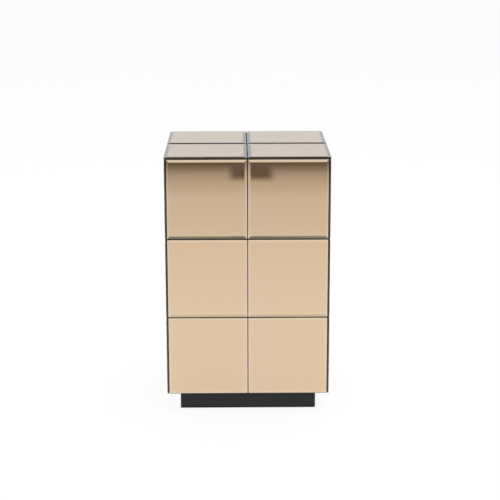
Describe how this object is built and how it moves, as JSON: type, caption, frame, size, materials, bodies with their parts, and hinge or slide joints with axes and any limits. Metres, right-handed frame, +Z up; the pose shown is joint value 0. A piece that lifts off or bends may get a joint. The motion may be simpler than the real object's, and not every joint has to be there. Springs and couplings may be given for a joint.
{
  "type": "mirrored block side table",
  "caption": "Square block side table clad in bevelled bronze-tinted mirror tiles with a flat top, on a recessed matt black plinth.",
  "frame": {"origin": "on the floor under the centre of the block's square footprint", "axes": "+Z up, -Y out of the front face, +X to the right as seen from the front"},
  "size_m": [0.312, 0.312, 0.5],
  "materials": {
    "bronze_mirror": "bronze-tinted back-silvered glass, polished, with a ground and polished bevel",
    "bonding_sheet": "black mirror mounting foam",
    "carcass_board": "raw medium-density fibreboard",
    "batten_wood": "raw planed pine",
    "black_plinth": "board painted matt black",
    "zinc_steel": "zinc-plated steel",
    "glide": "black nylon with a steel nail"
  },
  "bodies": {
    "root": {"back_bonding_sheet": "bonding_sheet", "back_tile_bottom_left": "bronze_mirror", "back_tile_bottom_right": "bronze_mirror", "back_tile_middle_left": "bronze_mirror", "back_tile_middle_right": "bronze_mirror", "back_tile_top_left": "bronze_mirror", "back_tile_top_right": "bronze_mirror", "carcass_back_board": "carcass_board", "carcass_bottom_board": "carcass_board", "carcass_front_board": "carcass_board", "carcass_left_board": "carcass_board", "carcass_right_board": "carcass_board", "carcass_top_board": "carcass_board", "corner_batten_back_left": "batten_wood", "corner_batten_back_right": "batten_wood", "corner_batten_front_left": "batten_wood", "corner_batten_front_right": "batten_wood", "front_bonding_sheet": "bonding_sheet", "front_tile_bottom_left": "bronze_mirror", "front_tile_bottom_right": "bronze_mirror", "front_tile_middle_left": "bronze_mirror", "front_tile_middle_right": "bronze_mirror", "front_tile_top_left": "bronze_mirror", "front_tile_top_right": "bronze_mirror", "glide_back_left": "glide", "glide_back_right": "glide", "glide_front_left": "glide", "glide_front_right": "glide", "left_bonding_sheet": "bonding_sheet", "left_tile_bottom_left": "bronze_mirror", "left_tile_bottom_right": "bronze_mirror", "left_tile_middle_left": "bronze_mirror", "left_tile_middle_right": "bronze_mirror", "left_tile_top_left": "bronze_mirror", "left_tile_top_right": "bronze_mirror", "plinth_back_board": "black_plinth", "plinth_block_back_left": "batten_wood", "plinth_block_back_right": "batten_wood", "plinth_block_front_left": "batten_wood", "plinth_block_front_right": "batten_wood", "plinth_front_board": "black_plinth", "plinth_left_board": "black_plinth", "plinth_right_board": "black_plinth", "plinth_screw_back_left": "zinc_steel", "plinth_screw_back_right": "zinc_steel", "plinth_screw_front_left": "zinc_steel", "plinth_screw_front_right": "zinc_steel", "right_bonding_sheet": "bonding_sheet", "right_tile_bottom_left": "bronze_mirror", "right_tile_bottom_right": "bronze_mirror", "right_tile_middle_left": "bronze_mirror", "right_tile_middle_right": "bronze_mirror", "right_tile_top_left": "bronze_mirror", "right_tile_top_right": "bronze_mirror", "top_bonding_sheet": "bonding_sheet", "top_tile_back_left": "bronze_mirror", "top_tile_back_right": "bronze_mirror", "top_tile_front_left": "bronze_mirror", "top_tile_front_right": "bronze_mirror"}
  },
  "joints": []
}
